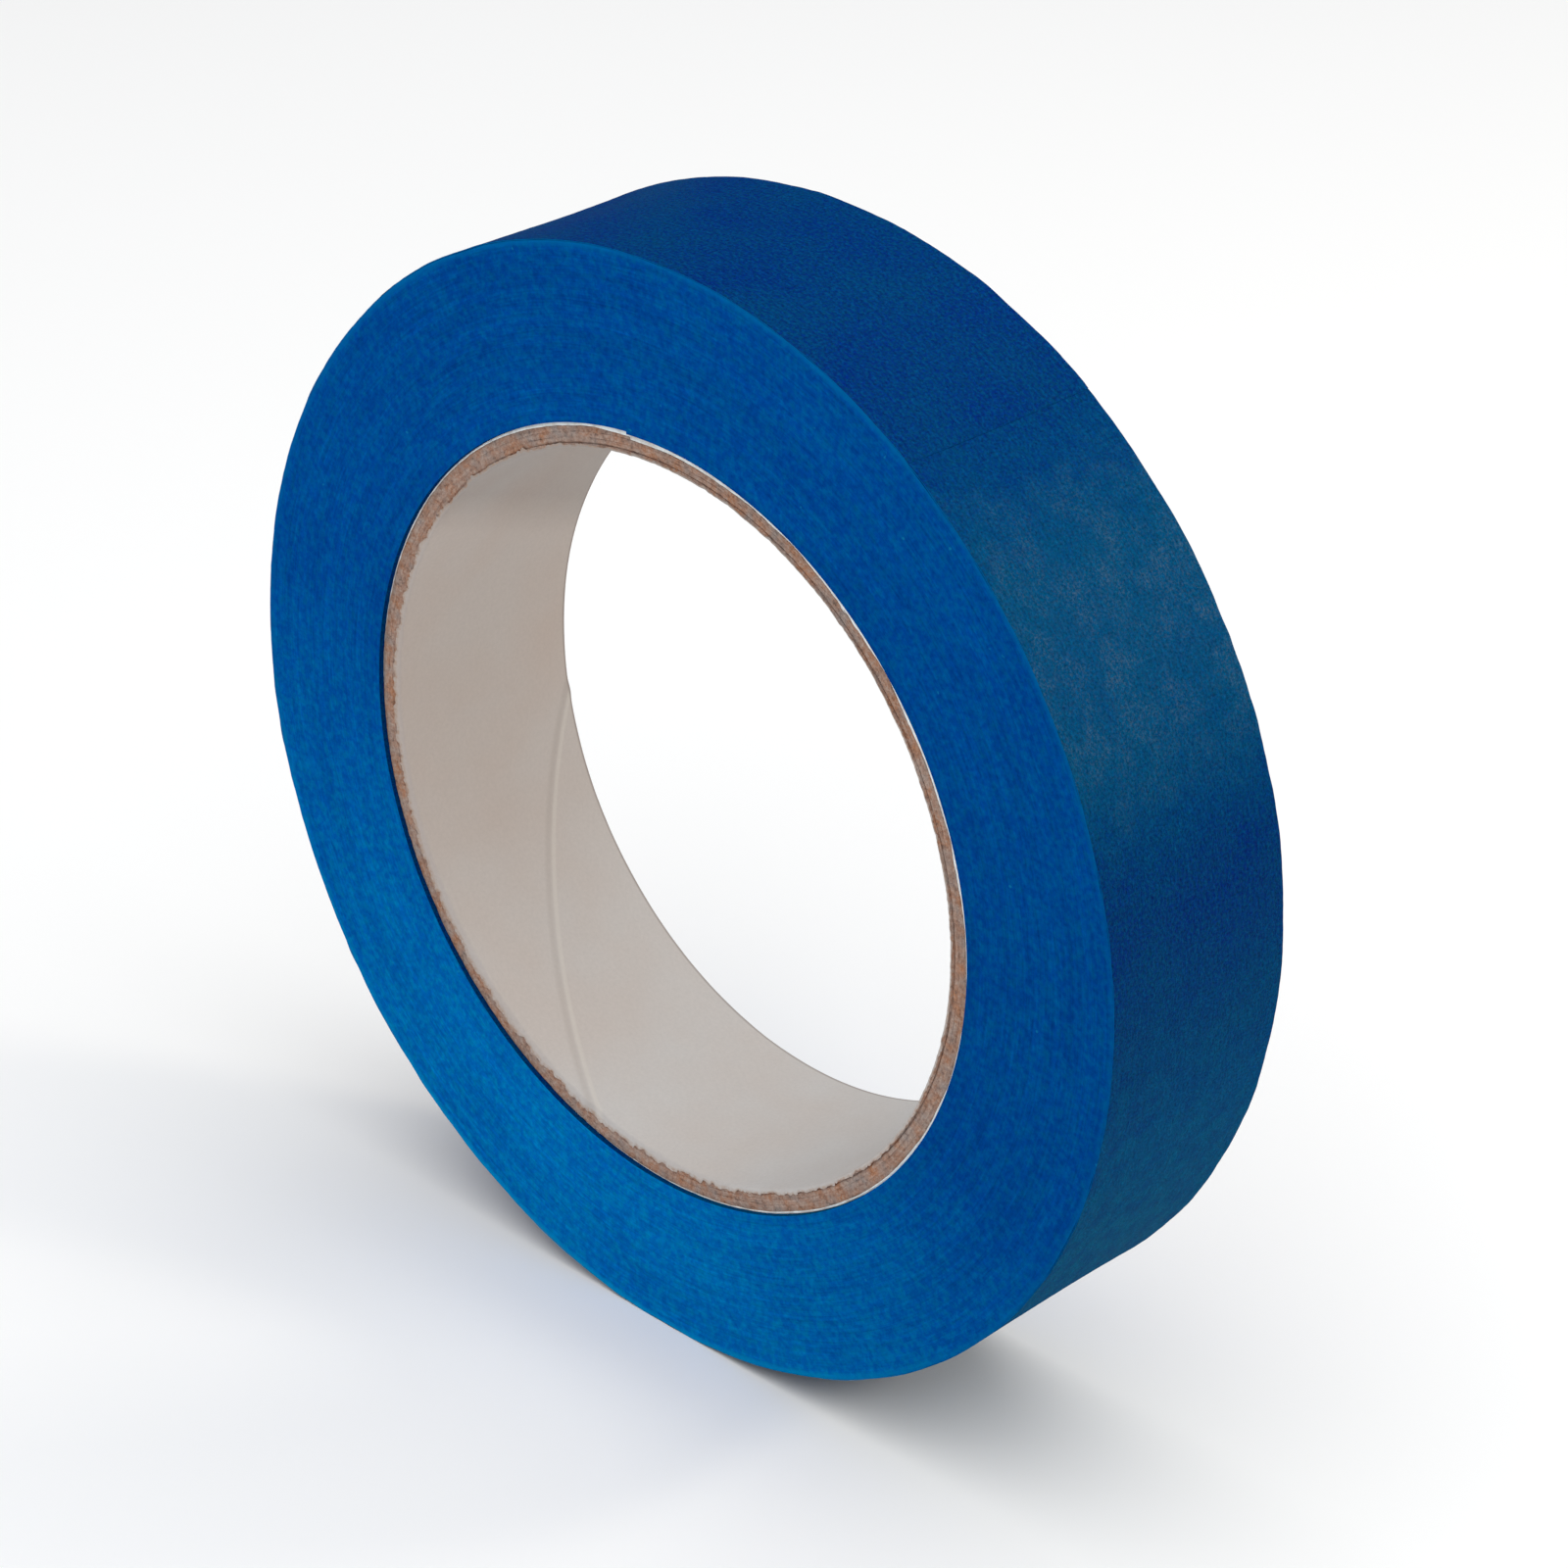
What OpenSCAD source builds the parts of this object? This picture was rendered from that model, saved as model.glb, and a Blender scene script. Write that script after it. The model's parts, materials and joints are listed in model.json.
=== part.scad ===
// A roll of crepe-paper masking tape on a cardboard core.
// The roll stands upright on its rim. Its axis lies along Y and runs through the origin,
// its front face looks towards -Y, and +Z is up.
// Angles are counter-clockwise as seen from the front: 0 is +X and 90 is the top.
// Every layer is wound the same way. Its outer end looks clockwise, and from that end
// the layer runs counter-clockwise, one thickness lower after each full turn.

/* [Roll] */
// Outer diameter of the full roll
roll_d = 118; // [96:1:150]
// Width of the tape
tape_w = 23.7; // [18:0.1:50]
// Thickness of one layer of tape, backing and adhesive together
tape_t = 0.14; // [0.12:0.01:0.2]

/* [Core] */
// Diameter of the hole through the core
bore_d = 77; // [76:0.5:80]
// Thickness of the smooth pale liner inside the core
liner_t = 0.45; // [0.4:0.05:0.6]
// Thickness of each brown board ply
ply_t = 0.6; // [0.4:0.05:0.8]
// Thickness of the white outer wrap where it starts, at its lap
wrap_t = 0.4; // [0.35:0.05:0.6]
// How far the wrap steps down at its lap
lap_step = 0.27; // [0.2:0.01:0.3]
// How far each end of the core sits inside the faces of the tape
core_recess = 0.25; // [0:0.05:0.4]

/* [Windings] */
// Where the wrap's lap is, and where the tape starts on the core
start_angle = 94.5; // [0:0.5:180]
// Where the tape ends on the outside of the roll
free_end_angle = 56; // [0:1:120]
// Width of the flat on the rim that the roll stands on, pressed by its own weight
foot_w = 8; // [6:0.5:16]

/* [Free end] */
// Length of each short stretch of the free end that can be peeled up
tail_len = 6; // [4:0.5:8]
// Play between the free end and the winding under it
peel_gap = 0.03; // [0.02:0.01:0.05]
// Play between one stretch of the free end and the next
crease_gap = 0.04; // [0.02:0.01:0.06]

/* [Hidden] */
// Stretches of the free end, numbered from where it leaves the roll to the cut edge
TAILS = [for (i = [1:12]) str("tape_tail_", i)];
$fn = 180;

liner_color = [0.74, 0.70, 0.65];
board_color = [0.66, 0.46, 0.34];
wrap_color = [0.90, 0.93, 0.93];
tape_color = [0.00, 0.32, 0.60];
tail_color = [0.00, 0.27, 0.48];

roll_r = roll_d / 2;
bore_r = bore_d / 2;
core_w = tape_w - 2 * core_recess;
liner_r = bore_r + liner_t;
board_r = liner_r + 3 * ply_t;
wrap_r = board_r + wrap_t;
first_r = wrap_r + tape_t;

// Height of the flat: the lower half of the last turn is half a layer down and inwards
foot_z = -tape_t / 2 * sin(free_end_angle) - sqrt(pow(roll_r - tape_t / 2, 2) - pow(foot_w / 2, 2));

// Angle that one stretch of the free end takes on the rim, and where the free end is rooted
tail_angle = tail_len / roll_r * 180 / PI;
root_angle = free_end_angle + len(TAILS) * tail_angle;
// Half of the play between two stretches, as an angle on the rim
half_crease = crease_gap / 2 / roll_r * 180 / PI;

// Turns a shape drawn around Z so that it lies around the roll's axis, Y
module on_roll_axis() {
    rotate([90, 0, 0]) children();
}

// A round layer with walls at two radii
module ring(inner_r, outer_r, width) {
    on_roll_axis()
        rotate_extrude()
            translate([inner_r, -width / 2])
                square([outer_r - inner_r, width]);
}

// The outline of a winding whose end is at an angle: two half circles, the second one
// shifted by half a step, so that the outline is one step lower after a full turn
module wound_outline(r, step, end_angle) {
    rotate(end_angle) {
        intersection() {
            circle(r);
            translate([-2 * r, 0]) square([4 * r, 2 * r]);
        }
        translate([-step / 2, 0])
            intersection() {
                circle(r - step / 2);
                translate([-2 * r, -2 * r]) square([4 * r, 2 * r]);
            }
    }
}

// The outline of one of the outer windings, which is flat above the foot
module footed_outline(r) {
    intersection() {
        wound_outline(r, tape_t, free_end_angle);
        translate([-2 * r, foot_z + roll_r - r]) square([4 * r, 4 * r]);
    }
}

// One turn of tape between an outer and an inner outline, with its outer end at an angle,
// less a stretch next to that end
module tape_turn(end_angle, left_out) {
    far = 2 * roll_r;
    color(tape_color)
        on_roll_axis()
            linear_extrude(tape_w, center = true)
                difference() {
                    children(0);
                    children(1);
                    rotate(end_angle)
                        polygon([
                            [0, 0], [far, 0], [far * cos(left_out), far * sin(left_out)]
                        ]);
                }
}

// Smooth pale paper that lines the hole; its inside is the bore
module core_liner() {
    color(liner_color) ring(bore_r, liner_r, core_w);
}

// One of the three plies of brown board, counted from the inside
module board_ply(number) {
    color(board_color)
        ring(liner_r + (number - 1) * ply_t, liner_r + number * ply_t, core_w);
}

module core_inner_ply() {
    board_ply(1);
}

module core_middle_ply() {
    board_ply(2);
}

module core_outer_ply() {
    board_ply(3);
}

// White paper around the board, lapped on itself at the start angle
module core_wrap() {
    color(wrap_color)
        on_roll_axis()
            linear_extrude(core_w, center = true)
                difference() {
                    wound_outline(wrap_r, lap_step, start_angle);
                    circle(board_r);
                }
}

// The first turn of the tape, stuck to the core; both of its ends are at the lap
module tape_first_turn() {
    tape_turn(start_angle, half_crease) {
        wound_outline(first_r, lap_step, start_angle);
        wound_outline(wrap_r, lap_step, start_angle);
    }
}

// All the turns between the first one and the last one
module tape_pack() {
    color(tape_color)
        on_roll_axis()
            linear_extrude(tape_w, center = true)
                difference() {
                    footed_outline(roll_r - tape_t);
                    wound_outline(first_r, lap_step, start_angle);
                }
}

// The last turn, from where the free end is rooted to where the free end covers it
module tape_last_turn() {
    tape_turn(free_end_angle, root_angle - free_end_angle + half_crease) {
        footed_outline(roll_r);
        footed_outline(roll_r - tape_t);
    }
}

// One stretch of the free end, counted from the root. It turns about a crease on the
// rim's surface, along Y, at the end nearer the root.
module tape_tail(number) {
    inner_r = roll_r - tape_t + peel_gap;
    color(tail_color)
        on_roll_axis()
            rotate(root_angle - number * tail_angle + half_crease)
                rotate_extrude(angle = tail_angle - 2 * half_crease)
                    translate([inner_r, -tape_w / 2])
                        square([roll_r - inner_r, tape_w]);
}

core_liner();
core_inner_ply();
core_middle_ply();
core_outer_ply();
core_wrap();
tape_first_turn();
tape_pack();
tape_last_turn();
for (i = [1:len(TAILS)])
    tape_tail(i);
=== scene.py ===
import json
import math

import bpy
import numpy as np
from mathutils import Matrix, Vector


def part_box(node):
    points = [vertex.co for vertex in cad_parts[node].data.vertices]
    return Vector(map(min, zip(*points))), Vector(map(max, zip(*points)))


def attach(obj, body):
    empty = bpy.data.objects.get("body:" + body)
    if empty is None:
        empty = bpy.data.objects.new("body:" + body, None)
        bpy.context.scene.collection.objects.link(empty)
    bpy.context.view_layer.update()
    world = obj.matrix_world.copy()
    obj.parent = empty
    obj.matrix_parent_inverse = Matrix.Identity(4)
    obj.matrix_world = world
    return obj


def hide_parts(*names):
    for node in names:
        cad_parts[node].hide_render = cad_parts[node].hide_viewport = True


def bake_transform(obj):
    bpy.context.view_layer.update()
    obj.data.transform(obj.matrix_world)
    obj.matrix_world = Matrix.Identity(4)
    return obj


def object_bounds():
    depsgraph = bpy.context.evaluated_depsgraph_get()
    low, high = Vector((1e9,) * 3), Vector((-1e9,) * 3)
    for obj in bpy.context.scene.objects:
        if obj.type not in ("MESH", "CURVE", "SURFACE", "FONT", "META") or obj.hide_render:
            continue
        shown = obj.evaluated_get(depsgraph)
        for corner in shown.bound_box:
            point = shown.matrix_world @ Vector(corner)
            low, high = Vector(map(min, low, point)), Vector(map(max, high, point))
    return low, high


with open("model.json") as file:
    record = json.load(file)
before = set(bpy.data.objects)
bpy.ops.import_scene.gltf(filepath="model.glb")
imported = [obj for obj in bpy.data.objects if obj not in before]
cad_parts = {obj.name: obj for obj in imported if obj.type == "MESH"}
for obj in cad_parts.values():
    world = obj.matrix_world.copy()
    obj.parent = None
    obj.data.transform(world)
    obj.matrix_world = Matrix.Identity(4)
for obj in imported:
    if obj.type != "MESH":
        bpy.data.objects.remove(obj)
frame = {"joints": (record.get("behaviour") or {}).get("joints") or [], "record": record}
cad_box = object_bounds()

# A roll of blue crepe-paper masking tape on a lined cardboard core, standing on its rim.
# Lengths are in millimetres here and in metres in Blender. Angles are in degrees,
# counter-clockwise seen from the front, where -Y is: 0 is +X and 90 is the top.
MM = 0.001

# Sizes that the frame doesn't hold, as in the CAD source
TAPE_T = 0.14          # thickness of one turn of tape
WRAP_STEP = 0.27       # how far the wrap steps down at its lap
LAP_ANGLE = 94.5       # where the wrap's lap is, and where the tape starts
PEEL_GAP = 0.03        # play under the free end

# Sizes of the looks
WRAP_T = 0.17          # thickness of the white wrap's cut edge, before it is made uneven
DISH = 0.2             # how hollow the rim is between its two edges
SLIP = 0.25            # how far the innermost turns have slipped to the front
FORWARD = 0.5          # how far the outermost turns have slipped to the front, at most
FORWARD_ANGLE = 33     # where on the roll they have slipped the furthest
FORWARD_SPREAD = 85    # how far from there on both sides they have slipped at all
SWELL = 0.03           # unevenness that the outer turns share
LIP_T = 0.08           # thickness of the liner's torn lip on the board
LIP_SINK = 0.07        # how deep the lip's underside lies in the board
EDGE_ROUND = 0.035     # how far the tape's edges are rounded off
EDGE_WIDTH = 0.07      # width of the rounding
TIP = 0.7              # length of the cut end that is pressed down
TIP_PRESS = 0.6        # how far it is pressed down, as a share of the tape's thickness
GAP_STRETCH = 12       # length from the cut end over which the play under it grows
BRIDGE = 60            # angle in which the outermost turn rises to the lap
SEAM_FRONT = 255.6     # angle of the liner's seam at the front of the core
SEAM_BACK = 190.0      # angle of the liner's seam at the back of the core
DEEP_SEAM = -130       # angle from that seam to the faint ridge of one in a deeper layer
JUMP = 0.02            # angle between the two ends of a layer that is wound once round
WINDINGS = 120         # ridges on each face of the tape
SHARP = 35             # an edge between faces at more than this angle is drawn sharp

joints = frame["joints"]
hinges = [Vector(joint["pos_m"]) / MM for joint in joints]
bore = next(m for m in frame["record"]["mounts"] if m["name"] == "core_bore")


def angle_of(point):
    return math.degrees(math.atan2(point.z, point.x))


def outer_radius(name):
    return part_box(name)[1].x / MM


ROLL_R = math.hypot(hinges[0].x, hinges[0].z)
ROOT_ANGLE = angle_of(hinges[0])
TAIL_ANGLE = ROOT_ANGLE - angle_of(hinges[1])
FREE_END = ROOT_ANGLE - len(joints) * TAIL_ANGLE
BORE_R = bore["dims"]["r_mm"]
LINER_R = outer_radius("core_liner")
PLY_R = [LINER_R] + [outer_radius(f"core_{name}_ply") for name in ("inner", "middle", "outer")]
WRAP_R = -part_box("core_wrap")[0].x / MM
HALF_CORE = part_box("core_liner")[1].y / MM
HALF_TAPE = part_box("tape_pack")[1].y / MM
FOOT_Z = cad_box[0].z / MM

# The liner's seam as a straight line in its UV map: its place half-way, and its lean
SEAM_MIDDLE = math.radians((SEAM_FRONT + SEAM_BACK) / 2) * ROLL_R
SEAM_LEAN = math.radians(SEAM_BACK - SEAM_FRONT) * ROLL_R / (2 * HALF_CORE)


# ---------------------------------------------------------------- shapes

def rise(x):
    """A smooth step from 0 to 1."""
    x = np.clip(x, 0, 1)
    return x * x * (3 - 2 * x)


def near(angle, centre, half_width):
    """1 at an angle on the roll, falling smoothly to 0 at half_width on both sides of it."""
    away = np.abs((angle - centre + 180) % 360 - 180)
    return rise(1 - away / half_width)


def grain(shape, spacing, size, seed):
    """Smooth random relief of unit spread on a grid. spacing is the distance between its
    points and size the size of its bumps, each along the rows and along the columns."""
    white = np.random.default_rng(seed).standard_normal(shape)
    along = np.fft.fftfreq(shape[0], spacing[0])[:, None] * size[0]
    across = np.fft.rfftfreq(shape[1], spacing[1])[None, :] * size[1]
    soft = np.fft.rfft2(white) * np.exp(-2.5 * (along**2 + across**2))
    relief = np.fft.irfft2(soft, shape)
    return relief / relief.std()


def wander(count, spacing, size, seed):
    """Smooth random numbers of unit spread along a line that closes on itself."""
    return grain((count, 1), (spacing, 1), (size, 0), seed)[:, 0]


def wound_radius(turn, radius, step):
    """Radius of a winding that is turn degrees past its outer end. Its second half is a
    half circle shifted by half a step, so that it ends one step lower."""
    return radius - step / 2 * (1 - np.cos(np.radians(np.clip(turn - 180, 0, 180))))


def dished(y):
    """How far the rim is hollow between its two edges."""
    return DISH * (1 - (y / HALF_TAPE) ** 2)


def swell(angle, y):
    """The soft unevenness that the outer turns share. It is the same after a full turn."""
    random = np.random.default_rng(104)
    waves = 30
    total = np.zeros(np.broadcast(angle, y).shape)
    for _ in range(waves):
        around = random.integers(5, 45)
        across = random.uniform(-0.5, 0.5)
        phase = random.uniform(0, 2 * math.pi)
        total += np.cos(np.radians(around * angle) + across * y + phase)
    return SWELL * total / math.sqrt(waves / 2)


def forward(angle, share):
    """How far the outer turns have slipped to the front, round FORWARD_ANGLE. share is 0 at
    the core and 1 at the rim."""
    return FORWARD * near(angle, FORWARD_ANGLE, FORWARD_SPREAD) * rise(2 * share - 1)


def outline(*parts):
    """One outline from lists of (radius, y, zone) parts. A zone is the number of the
    material between a point and the next one. All arrays have a row for each angle."""
    radius = np.concatenate([part[0] for part in parts], axis=1)
    y = np.concatenate([part[1] for part in parts], axis=1)
    zones = np.concatenate([np.full(part[0].shape[1], part[2]) for part in parts])
    return radius, y, zones


def spread(rows, values):
    """The same values for each of so many rows."""
    return np.repeat(np.asarray(values, float)[None, :], rows, axis=0)


def add_mesh(name, points, faces, zones, uv, materials):
    """A mesh object from points in millimetres and faces that look outwards."""
    mesh = bpy.data.meshes.new(name)
    mesh.from_pydata((points * MM).tolist(), [], faces)
    mesh.polygons.foreach_set("material_index", np.asarray(zones, np.int32))
    mesh.polygons.foreach_set("use_smooth", np.ones(len(faces), bool))
    layer = mesh.uv_layers.new(name="UVMap")
    layer.data.foreach_set("uv", np.asarray(uv, np.float32).ravel())
    for material in materials:
        mesh.materials.append(material)
    mesh.update()
    mesh.set_sharp_from_angle(angle=math.radians(SHARP))
    piece = bpy.data.objects.new(name, mesh)
    bpy.context.collection.objects.link(piece)
    return piece


def sweep(name, angle, radius, y, zones, materials, closed, lowest=None):
    """A closed solid from outlines placed around the roll's axis at the given angles.
    closed joins the last outline to the first; otherwise both ends get a cap.
    lowest is the height of the flat that the roll stands on. In the UV map, the angle is
    drawn as a length on the rim, and the place across is the same as on the roll."""
    rows, columns = radius.shape
    turn = np.radians(angle)[:, None]
    points = np.stack([radius * np.cos(turn), y, radius * np.sin(turn)], axis=-1)
    if lowest is not None:
        points[..., 2] = np.maximum(points[..., 2], lowest)
    i, j = np.meshgrid(np.arange(rows if closed else rows - 1), np.arange(columns),
                       indexing="ij")
    i, j = i.ravel(), j.ravel()
    rim, beside = (i + 1) % rows, (j + 1) % columns
    flip = (angle[1] > angle[0]) == turns_left(radius, y)
    corners = [(i, j), (rim, j), (rim, beside), (i, beside)]
    if flip:
        corners.reverse()
    faces = np.stack([a * columns + b for a, b in corners], axis=1)
    along = np.append(angle, angle[0] + 360 * np.sign(angle[1] - angle[0]))
    along = np.radians(along) * ROLL_R
    places = [(i, j), (i + 1, j), (i + 1, beside), (i, beside)]
    if flip:
        places.reverse()
    uv = np.stack([np.stack([along[a], y[a % rows, b]], axis=-1) for a, b in places], axis=1)
    face_list, zone_list = faces.tolist(), zones[j].tolist()
    uv_list = [uv.reshape(-1, 2)]
    if not closed:
        for row in (0, rows - 1):
            loop = np.arange(columns)
            if (row == 0) == flip:
                loop = loop[::-1]
            face_list.append((loop + row * columns).tolist())
            zone_list.append(int(zones[-1]))
            uv_list.append(np.stack([np.full(columns, along[row]), y[row, loop]], axis=-1))
    return add_mesh(name, points.reshape(-1, 3), face_list, zone_list,
                    np.concatenate(uv_list), materials)


def turns_left(radius, y):
    """Whether an outline goes counter-clockwise, with its radius to the right and y up."""
    r, h = radius[0], y[0]
    return float((r * np.roll(h, -1) - np.roll(r, -1) * h).sum()) > 0


# ---------------------------------------------------------------- materials

def node(tree, kind, inputs=None, **settings):
    """A shader node with its settings and inputs, each a value or another node's output."""
    made = tree.nodes.new("ShaderNode" + kind)
    for key, value in settings.items():
        setattr(made, key, value)
    for key, value in (inputs or {}).items():
        if isinstance(value, bpy.types.NodeSocket):
            tree.links.new(value, made.inputs[key])
        else:
            made.inputs[key].default_value = value
    return made


def scaled(tree, vector, factors):
    return node(tree, "VectorMath", {0: vector, 1: factors}, operation="MULTIPLY").outputs[0]


def noise(tree, vector, scale, detail=2.0, roughness=0.5):
    """Noise between 0 and 1 with about scale bumps for each unit of length."""
    inputs = {"Vector": vector, "Scale": scale, "Detail": detail, "Roughness": roughness}
    return node(tree, "TexNoise", inputs).outputs[0]


def between(tree, value, low, high, to_low=0.0, to_high=1.0):
    """Stretches the range low to high of a value over another range, and cuts off the rest.
    low may be the higher one."""
    inputs = {"Value": value, "From Min": low, "From Max": high,
              "To Min": to_low, "To Max": to_high}
    return node(tree, "MapRange", inputs).outputs[0]


def math_node(tree, operation, a, b):
    return node(tree, "Math", {0: a, 1: b}, operation=operation).outputs[0]


def mixed(tree, factor, a, b):
    """Two colours mixed. A colour is three numbers or an output."""
    a, b = (c if isinstance(c, bpy.types.NodeSocket) else (*c, 1) for c in (a, b))
    return node(tree, "Mix", {0: factor, 6: a, 7: b}, data_type="RGBA").outputs[2]


def shaded(tree, colour, value, low, high):
    """A colour made darker or lighter where a value between 0 and 1 is low or high."""
    grey = between(tree, value, 0.25, 0.75, low, high)
    return scaled(tree, colour, grey)


def new_material(name, roughness=0.8, specular=0.2):
    material = bpy.data.materials.new(name)
    material.use_nodes = True
    surface = material.node_tree.nodes["Principled BSDF"]
    surface.inputs["Roughness"].default_value = roughness
    surface.inputs["Specular IOR Level"].default_value = specular
    return material, material.node_tree, surface


def set_look(tree, surface, colour, height, depth, roughness=None):
    """Gives the shader its colour, a bump of the given depth in millimetres and roughness,
    and returns the bump's output."""
    tree.links.new(colour, surface.inputs["Base Color"])
    bump = node(tree, "Bump", {"Height": height, "Distance": depth * MM, "Strength": 1.0})
    tree.links.new(bump.outputs[0], surface.inputs["Normal"])
    if roughness is not None:
        tree.links.new(roughness, surface.inputs["Roughness"])
    return bump.outputs[0]


def strip_place(tree):
    """The place in the UV map in millimetres: along the layer, and across it."""
    return node(tree, "UVMap", uv_map="UVMap").outputs[0]


def object_place(tree):
    """The place in the roll's own frame, in millimetres."""
    return scaled(tree, node(tree, "TexCoord").outputs["Object"], (1 / MM,) * 3)


def polar_place(tree):
    """The direction from the roll's axis, as a unit vector, and the distance from it."""
    flat = scaled(tree, object_place(tree), (1, 0, 1))
    direction = node(tree, "VectorMath", {0: flat}, operation="NORMALIZE").outputs[0]
    distance = node(tree, "VectorMath", {0: flat}, operation="LENGTH").outputs["Value"]
    return direction, distance


def turned_to(tree, angle):
    """1 at an angle on the roll, falling to 0 a quarter turn away and to -1 opposite."""
    towards = (math.cos(math.radians(angle)), 0, math.sin(math.radians(angle)))
    inputs = {0: polar_place(tree)[0], 1: towards}
    return node(tree, "VectorMath", inputs, operation="DOT_PRODUCT").outputs["Value"]


def ring_noise(tree, length, thickness, detail=2.0):
    """Streaks that run round the axis, with their length and thickness in millimetres."""
    direction, distance = polar_place(tree)
    around = scaled(tree, direction, (ROLL_R / length, 0, ROLL_R / length))
    outward = node(tree, "CombineXYZ", {1: math_node(tree, "DIVIDE", distance, thickness)})
    place = node(tree, "VectorMath", {0: around, 1: outward.outputs[0]}, operation="ADD")
    return noise(tree, place.outputs[0], 1.0, detail)


def tread_material():
    """The back of the crepe paper: dark blue, mottled, with a faint sheen. It has painted shade
    a little to the right, painted bounce light from the floor that turns it teal at the lower
    right, and a painted sheen band at the upper right with pale specks, partly dust."""
    material, tree, surface = new_material("crepe_back", specular=0.0)
    place = strip_place(tree)
    cloud = noise(tree, place, 0.11, 3.0)
    patch = noise(tree, place, 0.45, 3.0)
    fibre = noise(tree, scaled(tree, place, (0.8, 2.2, 1)), 1.0, 3.0)
    speckle = noise(tree, place, 3.4, 1.5, 0.7)
    dye = noise(tree, place, 2.4, 2.0, 0.6)
    grit = noise(tree, place, 3.0, 3.0, 0.85)
    cluster = noise(tree, place, 0.5, 2.0, 0.6)
    drift = noise(tree, place, 0.22, 3.0, 0.6)
    colour = mixed(tree, between(tree, cloud, 0.35, 0.65), (0.0, 0.024, 0.158), (0.0, 0.040, 0.146))
    colour = mixed(tree, between(tree, patch, 0.3, 0.8, 0, 0.6), colour, (0.0, 0.042, 0.162))
    colour = mixed(tree, between(tree, dye, 0.45, 0.75, 0, 0.6), colour, (0.0, 0.070, 0.145))
    colour = mixed(tree, between(tree, dye, 0.5, 0.25, 0, 0.6), colour, (0.0, 0.010, 0.158))
    # Painted bounce light from the floor: teal towards the lower right
    painted_light_mask = between(tree, turned_to(tree, -45), 0.60, 0.97, 0, 0.8)
    teal = mixed(tree, between(tree, patch, 0.35, 0.65), (0.0, 0.058, 0.150), (0.0, 0.088, 0.172))
    colour = mixed(tree, painted_light_mask, colour, teal)
    # Painted shade: a little darker to the right
    colour = scaled(tree, colour, between(tree, turned_to(tree, 8), 0.93, 0.99, 1.0, 0.88))
    # Painted sheen: a paler band round 35 degrees, at the upper right
    uneven = math_node(tree, "MULTIPLY", patch, 0.05)
    sheen_band = math_node(tree, "ADD", turned_to(tree, 35), uneven)
    paler = between(tree, sheen_band, 0.95, 1.02, 0, 0.55)
    colour = mixed(tree, paler, colour, (0.0, 0.080, 0.155))
    colour = shaded(tree, colour, fibre, 0.82, 1.18)
    colour = shaded(tree, colour, speckle, 0.6, 1.4)
    # On the sheen band, pale specks: partly painted glints of the sheen and partly dust
    glint_and_dust_grains = math_node(tree, "ADD", grit, math_node(tree, "MULTIPLY", cluster, 0.25))
    dust_and_sheen = math_node(tree, "MULTIPLY", between(tree, sheen_band, 0.98, 1.025),
                     between(tree, glint_and_dust_grains, 0.60, 0.86, 0, 0.85))
    dust_and_sheen = math_node(tree, "MULTIPLY", dust_and_sheen, between(tree, drift, 0.42, 0.60, 0.2, 1.2))
    colour = mixed(tree, dust_and_sheen, colour, (0.055, 0.110, 0.185))
    height = math_node(tree, "ADD", speckle, math_node(tree, "MULTIPLY", fibre, 0.6))
    bump = set_look(tree, surface, colour, height, 0.12)
    tree.links.new(bump, surface.inputs["Coat Normal"])
    surface.inputs["Coat Weight"].default_value = 0.035
    surface.inputs["Coat Roughness"].default_value = 0.24
    return material


def winding_material():
    """The slit edges of the windings: bright blue, with fine rings, fibres and a few specks.
    They have a painted highlight along the rim, painted shade to the right, and painted
    light that brightens them towards the lower left."""
    material, tree, surface = new_material("slit_edges", roughness=0.9, specular=0.005)
    place = object_place(tree)
    broad = ring_noise(tree, 70, 2.2, 2.0)
    rings = ring_noise(tree, 14, 0.3, 3.0)
    fine = ring_noise(tree, 3, 0.16, 2.0)
    fibre = noise(tree, place, 1.9, 3.0, 0.65)
    cloud = noise(tree, place, 0.09, 2.0)
    dye = noise(tree, place, 1.3, 4.0, 0.65)
    speck = noise(tree, place, 1.1, 0.0)
    _, distance = polar_place(tree)
    colour = mixed(tree, between(tree, cloud, 0.35, 0.65), (0.0, 0.059, 0.278), (0.0, 0.069, 0.297))
    colour = mixed(tree, between(tree, dye, 0.45, 0.7, 0, 0.6), colour, (0.0, 0.115, 0.290))
    colour = mixed(tree, between(tree, dye, 0.5, 0.3, 0, 0.6), colour, (0.0, 0.042, 0.250))
    colour = shaded(tree, colour, broad, 0.93, 1.07)
    colour = shaded(tree, colour, rings, 0.86, 1.14)
    colour = shaded(tree, colour, fine, 0.9, 1.1)
    colour = shaded(tree, colour, fibre, 0.82, 1.18)
    # Painted highlight: a paler line along the edge of the rim
    rim = between(tree, distance, ROLL_R - 0.9, ROLL_R - 0.25, 0, 0.8)
    rim = math_node(tree, "MULTIPLY", rim, between(tree, broad, 0.2, 0.6))
    colour = mixed(tree, rim, colour, (0.0, 0.135, 0.37))
    # Painted shade: darker to the right
    colour = scaled(tree, colour, between(tree, turned_to(tree, -10), 0.2, 1.0, 1.09, 0.93))
    # Painted light: brighter and greener towards the lower left
    painted_light_mask = between(tree, turned_to(tree, 252), 0.15, 1.0)
    colour = scaled(tree, colour, mixed(tree, painted_light_mask, (1, 1, 1), (1, 2.05, 1.5)))
    dot = between(tree, speck, 0.85, 0.88, 0, 0.4)
    colour = mixed(tree, dot, colour, (0.01, 0.26, 0.45))
    height = math_node(tree, "ADD", rings, math_node(tree, "MULTIPLY", fibre, 0.8))
    set_look(tree, surface, colour, height, 0.04)
    return material


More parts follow.
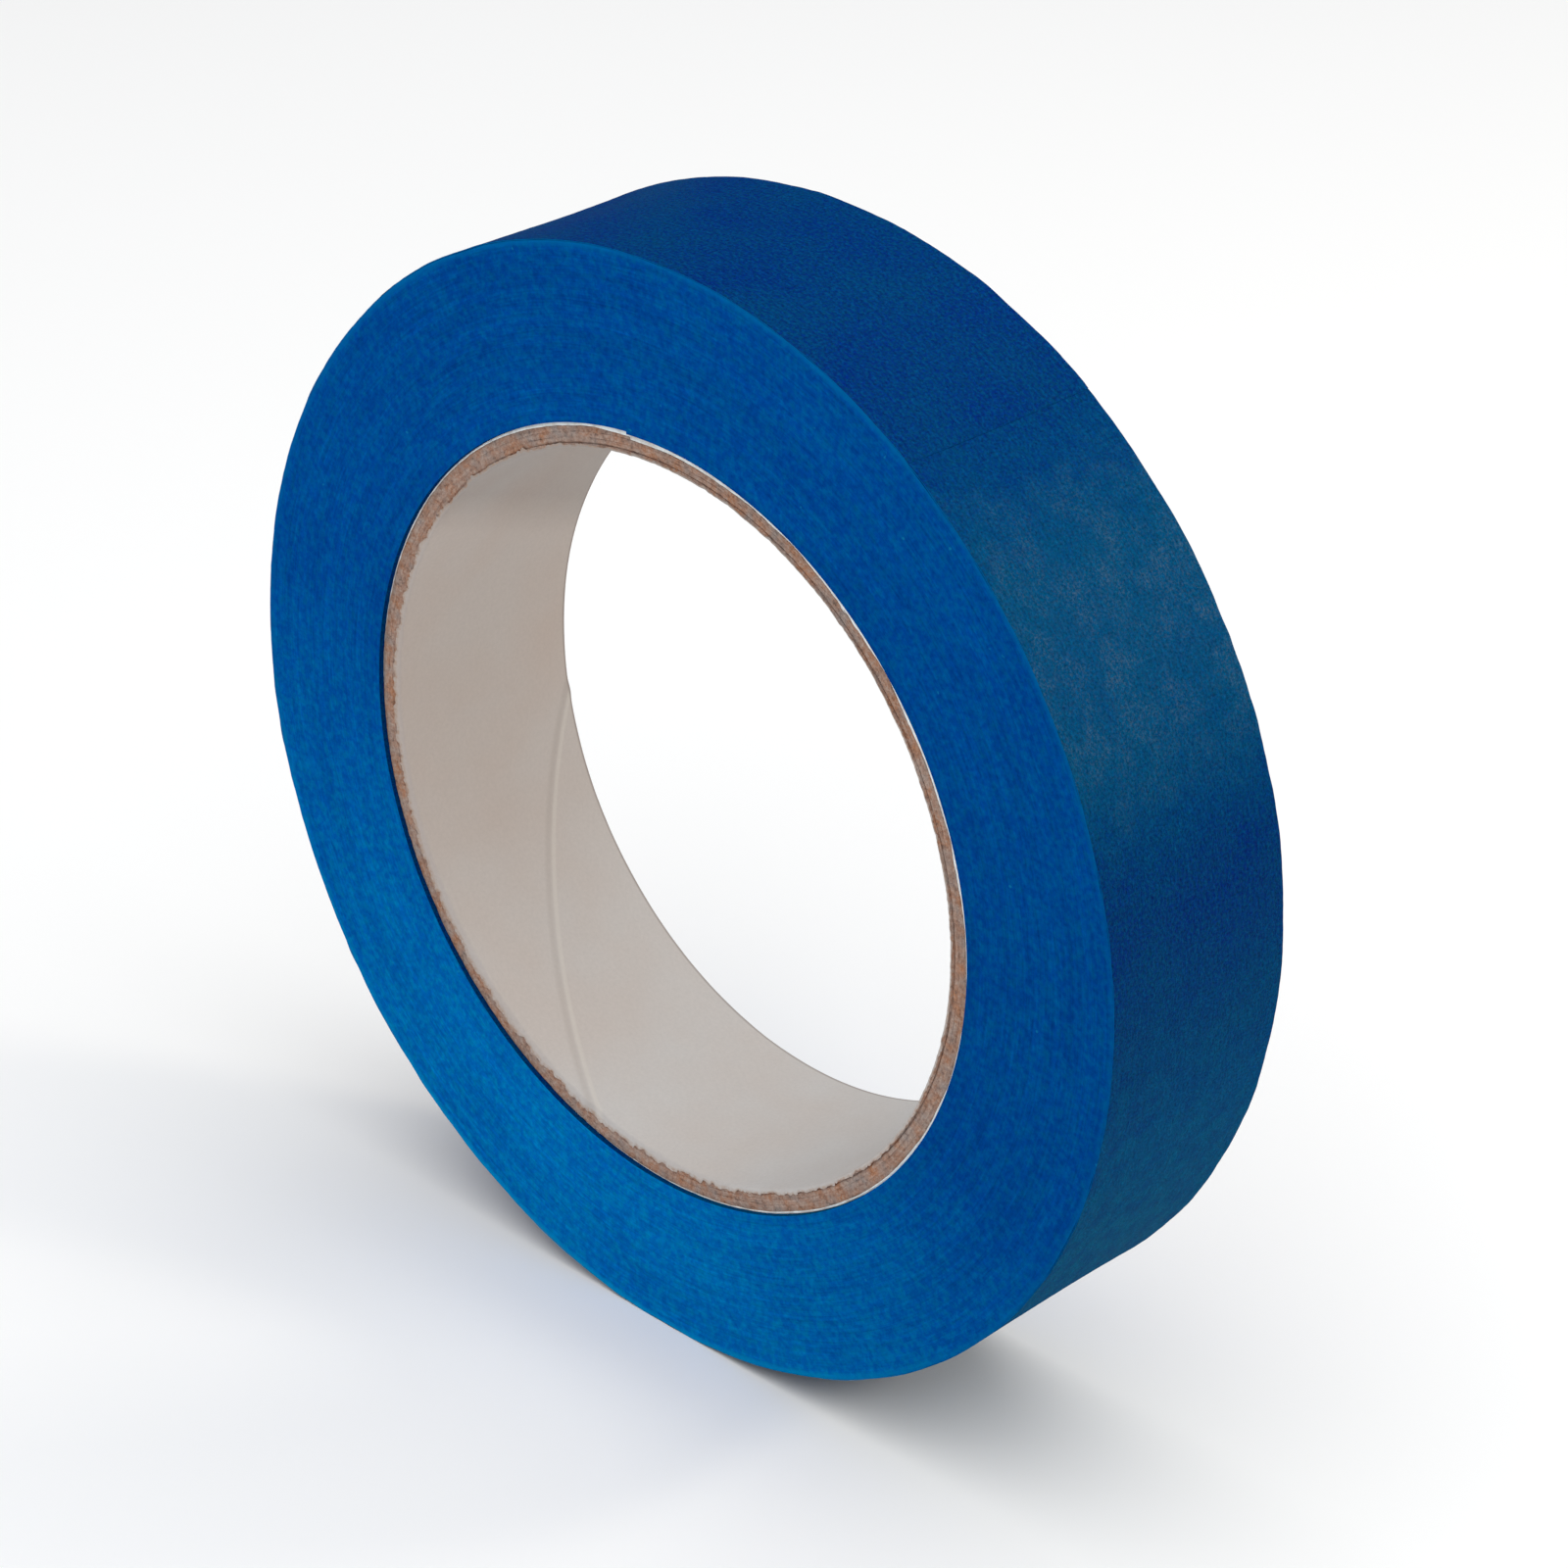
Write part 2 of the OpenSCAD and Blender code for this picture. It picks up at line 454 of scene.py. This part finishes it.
def adhesive_material():
    """The sticky side of the tape: a clear pale coat on the blue paper."""
    material, tree, surface = new_material("adhesive", specular=0.4)
    place = strip_place(tree)
    streak = noise(tree, scaled(tree, place, (0.15, 1.5, 1)), 1.0, 3.0)
    bubble = noise(tree, place, 1.6, 2.0, 0.6)
    colour = mixed(tree, between(tree, streak, 0.3, 0.7), (0.02, 0.14, 0.33), (0.05, 0.20, 0.40))
    colour = shaded(tree, colour, bubble, 0.9, 1.1)
    set_look(tree, surface, colour, bubble, 0.03, between(tree, bubble, 0.3, 0.7, 0.28, 0.42))
    return material


def liner_material():
    """Smooth pale paper with faint fibres, with painted shade at the ceiling and painted light
    at the bottom of the hole. It has a pale line at its seam, brown fibres at its torn edge,
    and a thin line of painted shade along its back edge."""
    material, tree, surface = new_material("liner_paper", roughness=0.75, specular=0.12)
    place = object_place(tree)
    cloud = noise(tree, place, 0.07, 3.0)
    fibre = noise(tree, place, 2.6, 3.0, 0.7)
    warm, grey = (0.505, 0.43, 0.385), (0.515, 0.46, 0.425)
    colour = mixed(tree, between(tree, cloud, 0.35, 0.65), warm, grey)
    colour = shaded(tree, colour, fibre, 0.955, 1.045)
    # Painted light: paler and cooler towards the bottom of the hole, where light falls from above
    lower = between(tree, turned_to(tree, 285), 0.2, 1.0)
    colour = scaled(tree, colour, mixed(tree, lower, (1, 1, 1), (1.1, 1.19, 1.25)))
    flat = node(tree, "SeparateXYZ", {0: strip_place(tree)})
    # Painted shade on the ceiling of the hole; it reaches further down towards the back
    reach = math_node(tree, "MULTIPLY", flat.outputs[1], 0.0106)
    painted_ceiling_shade = between(tree, math_node(tree, "ADD", turned_to(tree, 90), reach), 0.43, 0.57)
    colour = scaled(tree, colour, mixed(tree, painted_ceiling_shade, (1, 1, 1), (0.78, 0.79, 0.80)))
    lean = math_node(tree, "MULTIPLY", flat.outputs[1], SEAM_LEAN)
    past_seam = math_node(tree, "SUBTRACT", flat.outputs[0], SEAM_MIDDLE)
    past_seam = math_node(tree, "SUBTRACT", past_seam, lean)
    beside = math_node(tree, "ABSOLUTE", past_seam, 0)
    colour = mixed(tree, between(tree, beside, 1.2, 0.5, 0, 0.4), colour, (0.64, 0.59, 0.53))
    shadow = math_node(tree, "ABSOLUTE", math_node(tree, "ADD", past_seam, 2.2), 0)
    colour = mixed(tree, between(tree, shadow, 1.8, 0.4, 0, 0.25), colour, (0.36, 0.31, 0.27))
    _, distance = polar_place(tree)
    torn = math_node(tree, "ADD", distance, math_node(tree, "MULTIPLY", fibre, 0.8))
    torn = between(tree, torn, BORE_R + 1.35, BORE_R + 1.8, 0, 0.8)
    colour = mixed(tree, torn, colour, (0.34, 0.25, 0.19))
    lip_top = -HALF_CORE - LIP_T
    frayed = between(tree, flat.outputs[1], 0.07 + lip_top, lip_top, 0, 0.8)
    frayed = math_node(tree, "MULTIPLY", frayed, between(tree, fibre, 0.35, 0.6))
    colour = mixed(tree, frayed, colour, (0.40, 0.26, 0.18))
    # Painted shade: a thin dark line along the back edge of the hole
    cut = between(tree, flat.outputs[1], HALF_CORE - 0.35, HALF_CORE - 0.1, 0, 0.7)
    colour = mixed(tree, cut, colour, (0.24, 0.19, 0.17))
    set_look(tree, surface, colour, fibre, 0.02)
    return material


def board_material():
    """The raw cut edge of the board: brown, with grey and orange fibres."""
    material, tree, surface = new_material("raw_board", roughness=0.95, specular=0.05)
    place = object_place(tree)
    blotch = noise(tree, place, 0.55, 3.0)
    fibre = noise(tree, place, 2.3, 3.0, 0.7)
    grit = noise(tree, place, 5.0, 2.0)
    layers = ring_noise(tree, 8, 0.25, 2.0)
    colour = mixed(tree, between(tree, blotch, 0.3, 0.7), (0.42, 0.19, 0.10), (0.32, 0.26, 0.235))
    colour = mixed(tree, between(tree, fibre, 0.45, 0.75), colour, (0.47, 0.37, 0.31))
    colour = mixed(tree, between(tree, fibre, 0.45, 0.25), colour, (0.16, 0.12, 0.10))
    colour = shaded(tree, colour, grit, 0.85, 1.15)
    colour = shaded(tree, colour, layers, 0.85, 1.15)
    height = math_node(tree, "ADD", fibre, grit)
    set_look(tree, surface, colour, height, 0.1)
    return material


def wrap_material():
    """White paper, with a little brown showing through its cut edge."""
    material, tree, surface = new_material("white_wrap", roughness=0.8, specular=0.15)
    place = object_place(tree)
    patch = noise(tree, place, 0.8, 3.0)
    fibre = noise(tree, place, 3.0, 2.0)
    colour = mixed(tree, between(tree, patch, 0.45, 0.75), (0.91, 0.96, 0.96), (0.68, 0.64, 0.60))
    colour = shaded(tree, colour, fibre, 0.9, 1.08)
    set_look(tree, surface, colour, fibre, 0.03)
    return material


def floor_material():
    """A pale matt surface, with a breath of unevenness."""
    material, tree, surface = new_material("studio_floor", roughness=0.9, specular=0.1)
    cloud = noise(tree, object_place(tree), 0.002, 2.0)
    colour = mixed(tree, cloud, (0.97, 0.955, 0.935), (0.98, 0.965, 0.945))
    tree.links.new(colour, surface.inputs["Base Color"])
    return material


tread = tread_material()
slit_edge = winding_material()
adhesive = adhesive_material()
liner_paper = liner_material()
raw_board = board_material()
white_wrap = wrap_material()


# ---------------------------------------------------------------- the core

CORE_ROWS = 1080
core_angle = LAP_ANGLE + np.linspace(0, 360 - JUMP, CORE_ROWS)
core_turn = core_angle - LAP_ANGLE
core_spacing = 2 * math.pi * BORE_R / CORE_ROWS


def wrap_edges():
    """The outer and the inner radius of the white wrap at each angle of the core."""
    outer = wound_radius(core_turn, WRAP_R, WRAP_STEP)
    thickness = WRAP_T + 0.7 * near(core_angle, 50, 80) + 0.2 * near(core_angle, 100, 40)
    thickness += 0.2 * near(core_angle, 340, 70) - 0.13 * near(core_angle, 215, 70)
    thickness *= 1 + 0.1 * wander(CORE_ROWS, core_spacing, 4, 11)
    return outer, outer - thickness


def lip_width():
    """How far the liner's torn front edge is turned over the board, at each angle."""
    even = 0.28 + 0.62 * near(core_angle, 220, 125)
    soft = wander(CORE_ROWS, core_spacing, 3, 21)
    torn = wander(CORE_ROWS, core_spacing, 0.8, 22)
    frayed = np.abs(wander(CORE_ROWS, core_spacing, 0.45, 23))
    return np.clip(even * (1 + 0.1 * soft + 0.2 * torn + 0.25 * (frayed - 0.5)), 0.12, 1.2)


def make_liner():
    """The liner: its bore is slightly uneven and has the ridge of a helical seam. Its front
    edge is turned over the board as a thin torn lip."""
    lip = lip_width()[:, None]
    depth = np.minimum(0.45 * lip + 0.1, 0.4)
    share = np.linspace(0, 1, 41)
    back = HALF_CORE - 0.02 - 0.01 * np.abs(wander(CORE_ROWS, core_spacing, 3, 31))[:, None]
    y = back + share * (depth - HALF_CORE - LIP_T - back)
    seam = np.interp(y, [-HALF_CORE, HALF_CORE], [SEAM_FRONT, SEAM_BACK])
    away = ((core_angle[:, None] - seam + 180) % 360 - 180) * math.radians(BORE_R)
    faint = ((core_angle[:, None] - seam - DEEP_SEAM + 180) % 360 - 180) * math.radians(BORE_R)
    relief = 0.015 * grain(y.shape, (core_spacing, 0.58), (9, 9), 41)
    relief += 0.13 * np.exp(-((away / 0.8) ** 2)) - 0.03 * np.exp(-(((away + 1.6) / 0.6) ** 2))
    relief += 0.05 * rise(away / 3 + 1) * rise(1 - away / 14)
    relief += 0.02 * np.exp(-((faint / 0.8) ** 2))
    bore_wall = (BORE_R - relief, y, 0)
    turn = np.radians(np.arange(15, 91, 15))
    lip_r = bore_wall[0][:, -1:] + (lip + relief[:, -1:]) * (1 - np.cos(turn))
    lip_y = y[:, -1:] - depth * np.sin(turn)
    lip_y += 0.008 * grain(lip_y.shape, (core_spacing, 0.2), (0.8, 0.3), 42)
    under_r = np.concatenate([lip_r[:, -1:], spread(CORE_ROWS, [LINER_R - 0.01] * 2)], axis=1)
    under_y = lip_y[:, -1:] + np.array([[0.5 * LIP_T, LIP_T + LIP_SINK]])
    under_y = np.concatenate([under_y, back], axis=1)
    radius, y, zones = outline(bore_wall, (lip_r, lip_y, 0), (under_r, under_y, 1))
    return sweep("liner", core_angle, radius, y, zones, [liner_paper, raw_board], closed=True)


def make_ply(name, inner, outer, seed):
    """One ply of board between two radii, with rough cut ends and softened corners."""
    share = np.array([0, 0.06, 0.2, 0.4, 0.6, 0.8, 0.94, 1])
    drop = np.array([0.04, 0.01, 0, 0, 0, 0, 0.01, 0.04])
    if inner[0] == LINER_R:
        drop[:3] = 0.16, 0.12, 0.05  # room under the liner's lip
    ends = []
    for side, end_seed in ((-1, seed), (1, seed + 1)):
        rough = grain((CORE_ROWS, len(share)), (core_spacing, 0.09), (0.8, 0.25), end_seed)
        rough += grain((CORE_ROWS, len(share)), (core_spacing, 0.09), (3, 0.6), end_seed + 2)
        radius = inner[:, None] + share * (outer - inner)[:, None]
        y = side * (HALF_CORE - drop - 0.025 * np.abs(rough))
        ends.append((radius, y))
    front, back = ends
    radius, y, zones = outline(
        (*front, 0), (back[0][:, ::-1], back[1][:, ::-1], 0))
    return sweep(name, core_angle, radius, y, zones, [raw_board], closed=True)


def make_wrap():
    """The white wrap, from its lap once round the board, sunk a little at the lower left."""
    outer, inner = wrap_edges()
    share = np.array([0, 0.15, 0.5, 0.82, 1])
    drop = np.array([0.05, 0.01, 0, 0.03, 0.22])
    radius = inner[:, None] + share * (outer - inner)[:, None]
    rough = 0.02 * np.abs(grain(radius.shape, (core_spacing, 0.1), (0.9, 0.3), 51))
    sunk = 0.2 * near(core_angle, 215, 75)[:, None]
    y = HALF_CORE - drop - rough - sunk
    radius, y, zones = outline((radius, -y, 0), (radius[:, ::-1], y[:, ::-1], 0))
    return sweep("white_wrap", core_angle, radius, y, zones, [white_wrap], closed=False)


def make_fibres():
    """Frayed fibres of board and paper that stand out of the core's cut edges, three in four
    of them at the front, and there mostly at the lower left."""
    random = np.random.default_rng(61)
    fibres, sides, rings = 420, 4, 5
    points, faces = [], []
    for number in range(fibres):
        end = -1 if number % 4 else 1
        angle = random.normal(205, 50) if end < 0 else random.uniform(0, 360)
        start_r = random.uniform(BORE_R + 0.5, PLY_R[1] + 0.3)
        length = random.uniform(0.25, 0.7)
        thick = random.uniform(0.01, 0.02)
        lean = random.uniform(-1, 1)
        inward = random.uniform(0.2, 0.9)
        outward = random.uniform(0.0, 0.5)
        first = len(points)
        for ring in range(rings):
            s = ring / (rings - 1)
            width = thick * (1 - 0.7 * s)
            curl = s * s
            middle_angle = math.radians(angle) + lean * length * s / BORE_R
            middle_r = start_r - inward * length * curl
            middle_y = end * (HALF_CORE - 0.06 + outward * length * (s - 0.5 * curl))
            for side in range(sides):
                turn = 2 * math.pi * side / sides
                r = middle_r + width * math.cos(turn)
                points.append((r * math.cos(middle_angle), middle_y + width * math.sin(turn),
                               r * math.sin(middle_angle)))
        for ring in range(rings - 1):
            for side in range(sides):
                a = first + ring * sides + side
                b = first + ring * sides + (side + 1) % sides
                quad = [a, b, b + sides, a + sides]
                faces.append(quad if lean > 0 else quad[::-1])
        lids = [[first + side for side in range(sides)][::-1],
                [first + (rings - 1) * sides + side for side in range(sides)]]
        faces += lids if lean > 0 else [lid[::-1] for lid in lids]
    uv = np.zeros((sum(len(face) for face in faces), 2))
    return add_mesh("frayed_fibres", np.array(points), faces, [0] * len(faces), uv, [raw_board])


def make_core():
    wrap_inner = wrap_edges()[1]
    radii = [np.full(CORE_ROWS, r) for r in PLY_R[:3]] + [wrap_inner]
    plies = {}
    for number, name in enumerate(("inner", "middle", "outer")):
        piece = make_ply(f"board_{name}_ply", radii[number], radii[number + 1], 71 + 10 * number)
        plies[f"core_{name}_ply"] = piece
    liner, wrap, fibres = make_liner(), make_wrap(), make_fibres()
    for node_name, piece in plies.items():
        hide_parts(node_name)
    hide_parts("core_liner")
    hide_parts("core_wrap")
    for piece in (*plies.values(), liner, wrap, fibres):
        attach(piece, "roll")


# ---------------------------------------------------------------- the tape

TAIL_ROWS = 20         # rows of the outermost turn's grid on each stretch of the free end
TREAD_COLUMNS = 83     # its columns across the rim, without the one at each edge
UNDER_STEP = 7         # the underside has every seventh of them all, from edge to edge
WINDING_ROWS = 358     # rows round the other turns, without the two at the lap
WALL_COLUMNS = 20      # columns across the rim of these turns
row_angle = TAIL_ANGLE / TAIL_ROWS
free_rows = TAIL_ROWS * len(joints)
last_rows = round((360 - JUMP) / row_angle) - free_rows
tread_angle = np.concatenate([
    FREE_END + row_angle * np.arange(free_rows),
    np.linspace(ROOT_ANGLE, FREE_END + 360 - JUMP, last_rows + 1)])
tread_y = np.concatenate([
    [-HALF_TAPE], np.linspace(EDGE_WIDTH - HALF_TAPE, HALF_TAPE - EDGE_WIDTH, TREAD_COLUMNS),
    [HALF_TAPE]])
tread_shape = (len(tread_angle), len(tread_y))
tread_spacing = (math.radians(row_angle) * ROLL_R, 2 * HALF_TAPE / TREAD_COLUMNS)


def tread_relief():
    """The crepe of the outermost turn, on its grid, with its two edges slightly rounded."""
    relief = 0.006 * grain(tread_shape, tread_spacing, (0.7, 1.0), 101)
    relief += 0.006 * grain(tread_shape, tread_spacing, (1.4, 2.4), 102)
    relief[:, 0] -= EDGE_ROUND
    relief[:, -1] -= EDGE_ROUND
    return relief


def edge_wander():
    """How far each slit edge of the outermost turn strays, at each row of its grid."""
    count, spacing = len(tread_angle), tread_spacing[0]
    return [0.03 * wander(count, spacing, 12, seed) + 0.03 * wander(count, spacing, 2.5, seed + 2)
            for seed in (105, 107)]


crepe = tread_relief()
strays = edge_wander()


def rim_shape(angle, y):
    """How far the rim lies above or below its edges, at each angle and place across it."""
    return swell(angle[:, None], y) - dished(y)


def make_strip(name, first, last, gap):
    """A stretch of the outermost turn between two rows of its grid, with a gap under it."""
    rows = slice(first, last + 1)
    angle = tread_angle[rows]
    y = spread(len(angle), tread_y)
    y -= forward(angle, 1.0)[:, None] * rise(-y / HALF_TAPE)
    y[:, 0] += strays[0][rows]
    y[:, -1] += strays[1][rows]
    base = wound_radius(angle - FREE_END, ROLL_R, TAPE_T)[:, None]
    from_tip = np.radians(angle[:, None] - FREE_END) * ROLL_R
    pressed = 1 - rise(from_tip / TIP)
    top = base + rim_shape(angle, y) + crepe[rows] - TIP_PRESS * TAPE_T * pressed
    under_y = y[:, ::-UNDER_STEP]
    lift = 0.003 + gap * rise(from_tip / GAP_STRETCH)
    under = base + rim_shape(angle, under_y) - TAPE_T + lift
    radius, y, zones = outline((top, y, 0), (under, under_y, 2))
    # The back and the front edge, between the top and the underside
    zones[tread_shape[1] - 1] = 1
    zones[-1] = 1
    return sweep(name, angle, radius, y, zones, [tread, slit_edge, adhesive], closed=False,
                 lowest=FOOT_Z)


def make_first_turn():
    """The first turn, stuck to the core from the lap to where it comes round to it. Like the
    other inner turns it has slipped a little to the front."""
    inner = wound_radius(core_turn, WRAP_R, WRAP_STEP)[:, None]
    radius = inner + TAPE_T * np.array([[0, 0.5, 1]])
    lift = 0.01 * grain(radius.shape, (core_spacing, 0.1), (5, 0.2), 111)
    y = HALF_TAPE + lift - np.array([[0.03, 0, 0]])
    radius, y, zones = outline((radius, -y - SLIP, 0), (radius[:, ::-1], y[:, ::-1] - SLIP, 0))
    zones[-1] = 1
    return sweep("tape_first_winding", core_angle, radius, y, zones, [slit_edge, tread],
                 closed=False)


def make_windings():
    """All the turns between the first and the last, as one ring with fine ridges for their
    edges. Next to the lap, the inner turns rise over its step, and the outer ones more slowly."""
    even = FREE_END + np.linspace(0, 360 - JUMP, WINDING_ROWS)
    angle = np.unique(np.concatenate([even, [LAP_ANGLE - JUMP, LAP_ANGLE]]))
    rows = len(angle)
    share = np.linspace(0, 1, WINDINGS)
    since_lap = (angle - LAP_ANGLE) % 360
    bridge = np.linspace(0.01, BRIDGE, WINDINGS)
    inner = wound_radius(since_lap, WRAP_R + TAPE_T, WRAP_STEP)[:, None]
    inner = inner + WRAP_STEP * rise((since_lap[:, None] - 360 + bridge) / bridge) * (
        since_lap[:, None] > 180)
    outer = wound_radius(angle - FREE_END, ROLL_R - TAPE_T, TAPE_T)[:, None]
    edge = outer + swell(angle[:, None], np.array([[-HALF_TAPE]]))
    radius = inner + share * (edge - inner)
    middle_r = 50
    spacing = (2 * math.pi * middle_r / rows, TAPE_T)
    faces = []
    for seed in (121, 131):
        steady = wander(WINDINGS, TAPE_T, 0.35, seed)
        steady += 0.8 * wander(WINDINGS, TAPE_T, 1.5, seed + 1)
        lift = 0.014 * steady + 0.01 * grain((rows, WINDINGS), spacing, (25, 0.3), seed + 2)
        lift = lift + 0.006 * grain((rows, WINDINGS), spacing, (3, 0.2), seed + 3)
        faces.append(HALF_TAPE + lift)
    slip = SLIP * (1 - share) ** 1.5
    front_slip = slip + forward(angle[:, None], share)
    wall_y = np.linspace(-HALF_TAPE, HALF_TAPE, WALL_COLUMNS + 2)[1:-1]
    wall = outer + rim_shape(angle, wall_y)
    radius, y, zones = outline(
        (radius, -faces[0] - front_slip, 0), (wall, spread(rows, wall_y), 1),
        (radius[:, ::-1], (faces[1] - slip)[:, ::-1], 0))
    # The wall starts at the last point of the front face
    zones[WINDINGS - 1] = 1
    return sweep("tape_windings", angle, radius, y, zones, [slit_edge, tread], closed=True,
                 lowest=FOOT_Z + TAPE_T)


def make_tape():
    first_turn, windings = make_first_turn(), make_windings()
    last_turn = make_strip("tape_last_winding", free_rows, len(tread_angle) - 1, 0)
    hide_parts("tape_first_turn")
    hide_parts("tape_pack")
    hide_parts("tape_last_turn")
    for piece in (first_turn, windings, last_turn):
        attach(piece, "roll")


def make_free_end():
    """The free end: one stretch of the outermost turn for each crease, from it to the next one."""
    for number, joint in enumerate(joints, 1):
        first = free_rows - number * TAIL_ROWS
        piece = make_strip(f"free_end_{number}", first, first + TAIL_ROWS, PEEL_GAP)
        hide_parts(f"tape_tail_{number}")
        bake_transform(piece)


# ---------------------------------------------------------------- camera and light

def direction(azimuth, elevation):
    """The direction from the roll to a viewer. Azimuth 0 looks along +Y."""
    a, e = math.radians(azimuth), math.radians(elevation)
    return Vector((math.sin(a) * math.cos(e), -math.cos(a) * math.cos(e), math.sin(e)))


def aim(thing, place, target):
    thing.location = place
    thing.rotation_euler = (Vector(target) - Vector(place)).to_track_quat("-Z", "Y").to_euler()


def make_camera():
    """The camera looks at a point beside the roll's middle, as fitted to the outlines."""
    azimuth, elevation = 44.42, 27.87
    distance, aside, above = 429.0, 4.07, 0.24
    back = direction(azimuth, elevation)
    right = Vector((math.cos(math.radians(azimuth)), math.sin(math.radians(azimuth)), 0))
    target = (right * aside + back.cross(right) * above) * MM
    camera = bpy.data.objects.new("camera", bpy.data.cameras.new("camera"))
    camera.data.lens = 98.97
    camera.data.sensor_width = 36
    aim(camera, target + back * distance * MM, target)
    bpy.context.collection.objects.link(camera)
    bpy.context.scene.camera = camera


def add_light(name, azimuth, elevation, distance, size, power, colour=(1, 1, 1)):
    """A square soft light that looks at the roll; distance and size are in metres."""
    light = bpy.data.lights.new(name, "AREA")
    light.size = size
    light.energy = power
    light.color = colour
    lamp = bpy.data.objects.new(name, light)
    lamp.visible_camera = False
    aim(lamp, direction(azimuth, elevation) * distance, (0, 0, 0))
    bpy.context.collection.objects.link(lamp)


def make_studio():
    world = bpy.data.worlds.new("studio")
    bpy.context.scene.world = world
    world.use_nodes = True
    world.node_tree.nodes["Background"].inputs["Color"].default_value = (1, 1, 1, 1)
    world.node_tree.nodes["Background"].inputs["Strength"].default_value = 0.36
    add_light("sheen_light", 134, 25, 0.7, 0.12, 1.0, (1.0, 0.93, 0.78))
    add_light("top_light", 60, 80, 1.1, 2.0, 17.5, (0.95, 0.99, 1.04))
    add_light("front_light", -40, 8, 0.9, 0.6, 0.55)
    size = 3.0
    floor = bpy.data.meshes.new("floor")
    corners = [(x * size, y * size, FOOT_Z * MM) for x, y in ((-1, -1), (1, -1), (1, 1), (-1, 1))]
    floor.from_pydata(corners, [], [(0, 1, 2, 3)])
    floor.materials.append(floor_material())
    floor_piece = bpy.data.objects.new("floor", floor)
    bpy.context.collection.objects.link(floor_piece)
    bpy.context.scene.view_settings.view_transform = "Standard"


make_camera()
make_studio()
make_core()
make_tape()
make_free_end()
